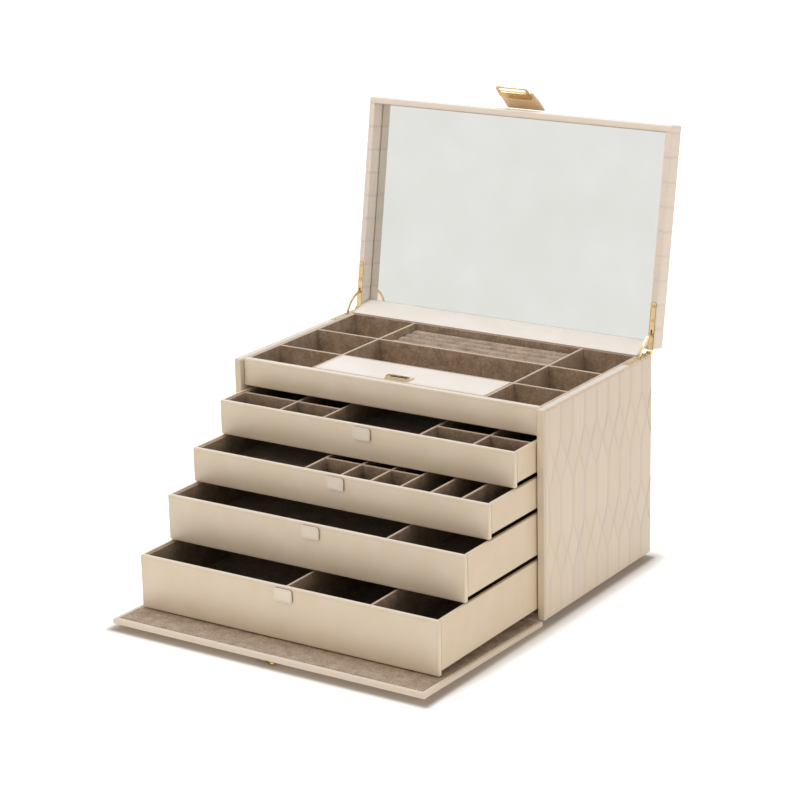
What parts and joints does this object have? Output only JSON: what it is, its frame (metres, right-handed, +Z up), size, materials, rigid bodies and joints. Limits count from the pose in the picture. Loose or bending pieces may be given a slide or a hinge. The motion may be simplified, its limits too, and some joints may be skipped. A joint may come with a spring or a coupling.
{
  "type": "tiered jewelry box",
  "caption": "Leather-covered jewelry box with a mirrored lid on quadrant stays, stepped drawers, a divided top tray with a travel case, and a fold-down front flap with a turn clasp.",
  "frame": {"origin": "on the ground, at the centre of the plinth's underside", "axes": "+X to the right seen from the front, +Y from the front to the back, +Z up"},
  "size_m": [0.343, 0.4684, 0.4434],
  "materials": {
    "embossed_leather": "cream leather with a pressed all-over pattern, satin",
    "smooth_leather": "smooth cream leather with stitched edges, satin",
    "suede": "brown microsuede lining, matt",
    "suede_edge": "brown microsuede lining, paler where it is pulled over the dividers, matt",
    "brass": "polished brass",
    "mirror_glass": "clear mirror"
  },
  "bodies": {
    "case": {"base_plinth": "suede", "base_board": "suede", "back_panel": "embossed_leather", "side_panel_left": "embossed_leather", "side_panel_right": "embossed_leather", "tray_front": "smooth_leather", "tray_floor": "suede", "tray_insert": "suede_edge", "ring_roll_pad": "suede", "drawer_runner_1": "suede", "drawer_runner_2": "suede", "drawer_runner_3": "suede", "drawer_runner_4": "suede", "hinge_case_leaf_left": "brass", "hinge_case_leaf_right": "brass", "hinge_pin_left": "brass", "hinge_pin_right": "brass", "hinge_case_screw_left_1": "brass", "hinge_case_screw_left_2": "brass", "hinge_case_screw_right_1": "brass", "hinge_case_screw_right_2": "brass", "lid_gusset": "smooth_leather", "flap_hinge_strip": "suede"},
    "lid": {"lid_shell": "embossed_leather", "lid_mirror": "mirror_glass", "hinge_lid_leaf_left": "brass", "hinge_lid_leaf_right": "brass", "hinge_lid_screw_left_1": "brass", "hinge_lid_screw_left_2": "brass", "hinge_lid_screw_right_1": "brass", "hinge_lid_screw_right_2": "brass", "clasp_anchor": "smooth_leather"},
    "stay_left": {"hinge_stay_left": "brass"},
    "stay_right": {"hinge_stay_right": "brass"},
    "clasp": {"clasp_strap": "smooth_leather", "clasp_plate": "brass"},
    "flap": {"flap_board": "embossed_leather", "flap_lining": "suede", "knob_base": "brass"},
    "knob": {"turn_knob": "brass"},
    "travel_case": {"travel_case_box": "smooth_leather"},
    "travel_case_cover": {"travel_case_lid": "smooth_leather", "travel_case_tab": "smooth_leather", "travel_case_loop": "brass"},
    "drawer_1": {"drawer_1_front": "smooth_leather", "drawer_1_tray": "smooth_leather", "drawer_1_lining": "suede", "drawer_1_tab": "smooth_leather"},
    "drawer_2": {"drawer_2_front": "smooth_leather", "drawer_2_tray": "smooth_leather", "drawer_2_lining": "suede", "drawer_2_tab": "smooth_leather"},
    "drawer_3": {"drawer_3_front": "smooth_leather", "drawer_3_tray": "smooth_leather", "drawer_3_lining": "suede", "drawer_3_tab": "smooth_leather"},
    "drawer_4": {"drawer_4_front": "smooth_leather", "drawer_4_tray": "smooth_leather", "drawer_4_lining": "suede", "drawer_4_tab": "smooth_leather"}
  },
  "joints": [
    {"name": "lid_hinge", "type": "hinge", "parent": "case", "child": "lid", "pos_m": [0, 0.1051, 0.20795], "axis": [-1, 0, 0], "range_deg": [-99.6, 0], "deforming": ["lid_gusset"]},
    {"name": "stay_left_swing", "type": "hinge", "parent": "lid", "child": "stay_left", "pos_m": [-0.1675, 0.11131, 0.22516], "axis": [-1, 0, 0], "range_deg": [0, 45]},
    {"name": "stay_right_swing", "type": "hinge", "parent": "lid", "child": "stay_right", "pos_m": [0.1675, 0.11131, 0.22516], "axis": [-1, 0, 0], "range_deg": [0, 45]},
    {"name": "clasp_bend", "type": "hinge", "parent": "lid", "child": "clasp", "pos_m": [0, 0.16231, 0.41876], "axis": [-1, 0, 0], "range_deg": [-25, 25]},
    {"name": "flap_hinge", "type": "hinge", "parent": "case", "child": "flap", "pos_m": [0, -0.1035, 0.006], "axis": [-1, 0, 0], "range_deg": [0, 0.25], "deforming": ["flap_hinge_strip"]},
    {"name": "knob_turn", "type": "hinge", "parent": "flap", "child": "knob", "pos_m": [0, -0.29508, 0.0053], "axis": [0, 0.0251, 0.9997], "range_deg": [-60, 30]},
    {"name": "drawer_1_slide", "type": "slide", "parent": "case", "child": "drawer_1", "axis": [0, -1, 0], "range_m": [-0.1714, 0.0036]},
    {"name": "drawer_2_slide", "type": "slide", "parent": "case", "child": "drawer_2", "axis": [0, -1, 0], "range_m": [-0.127, 0.048]},
    {"name": "drawer_3_slide", "type": "slide", "parent": "case", "child": "drawer_3", "axis": [0, -1, 0], "range_m": [-0.0861, 0.0889]},
    {"name": "drawer_4_slide", "type": "slide", "parent": "case", "child": "drawer_4", "axis": [0, -1, 0], "range_m": [-0.0413, 0.1337]},
    {"name": "travel_case_lift", "type": "slide", "parent": "case", "child": "travel_case", "axis": [0, 0, 1], "range_m": [0, 0.06]},
    {"name": "travel_case_hinge", "type": "hinge", "parent": "travel_case", "child": "travel_case_cover", "pos_m": [0.00765, -0.0431, 0.2073], "axis": [-1, 0, 0], "range_deg": [0, 100]}
  ],
  "couplings": [
    {"joint": "stay_left_swing", "follows": "lid_hinge", "ratio": -0.45},
    {"joint": "stay_right_swing", "follows": "lid_hinge", "ratio": -0.45}
  ]
}
